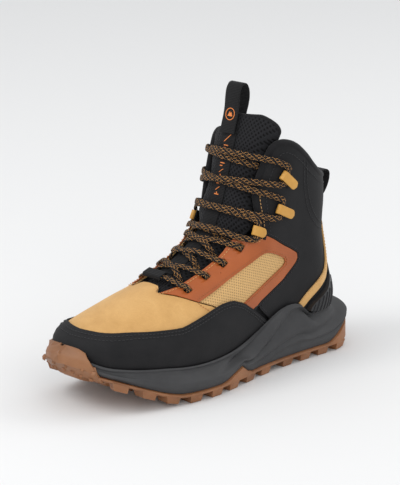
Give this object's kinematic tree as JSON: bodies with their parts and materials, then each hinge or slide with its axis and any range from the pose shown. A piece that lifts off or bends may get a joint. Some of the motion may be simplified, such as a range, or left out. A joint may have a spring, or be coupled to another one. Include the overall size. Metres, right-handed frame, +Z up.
{
  "type": "hiking boot",
  "caption": "Mid-height laced hiking boot for the left foot, with a lugged rubber sole, foam midsole, layered upper and open foot cavity.",
  "frame": {"origin": "on the ground under the middle of the bounding box", "axes": "+Z up, +Y from toe to heel, +X to the outer (lateral) side of the left foot"},
  "size_m": [0.1129, 0.3036, 0.2378],
  "materials": {
    "wheat_suede": "napped suede",
    "black_nubuck": "matt coated",
    "tan_mesh": "woven mesh",
    "brown_film": "thin coated film",
    "black_knit": "knitted lining",
    "grey_foam": "moulded foam",
    "grey_tpu": "moulded, ribbed",
    "gum_rubber": "matt moulded rubber",
    "black_webbing": "ribbed webbing",
    "tan_coated": "coated webbing",
    "black_lace": "flat braided",
    "grey_board": "fibre board"
  },
  "bodies": {
    "boot": {"outsole": "gum_rubber", "midsole": "grey_foam", "insole_board": "grey_board", "footbed": "black_knit", "lining": "black_knit", "vamp": "wheat_suede", "quarter_lateral": "tan_mesh", "quarter_medial": "tan_mesh", "film_overlay_lateral": "brown_film", "film_overlay_medial": "brown_film", "ankle_panel": "black_nubuck", "mudguard": "black_nubuck", "heel_panel": "black_nubuck", "heel_stripe": "wheat_suede", "heel_clip": "grey_tpu", "collar_roll": "black_knit", "tongue_lower": "black_knit", "tongue_strip": "black_webbing", "heel_loop": "black_webbing", "lace_keeper": "black_webbing", "lace": "black_lace", "lace_loop_lateral": "tan_coated", "lace_loop_medial": "tan_coated", "hook_lower_lateral": "tan_coated", "hook_lower_medial": "tan_coated", "hook_upper_lateral": "tan_coated", "hook_upper_medial": "tan_coated"},
    "tongue_top": {"tongue_flap": "black_knit", "tongue_flap_strip": "black_webbing"},
    "pull_loop": {"tongue_loop": "black_webbing"}
  },
  "joints": [
    {"name": "tongue_fold", "type": "hinge", "parent": "boot", "child": "tongue_top", "pos_m": [-0.0013, 0.0247, 0.184], "axis": [1, 0, 0], "range_deg": [0, 35], "stiffness_Nm_per_rad": 0.05},
    {"name": "loop_fold", "type": "hinge", "parent": "tongue_top", "child": "pull_loop", "pos_m": [-0.0013, 0.0384, 0.2153], "axis": [1, 0, 0], "range_deg": [-25, 45], "stiffness_Nm_per_rad": 0.01}
  ]
}
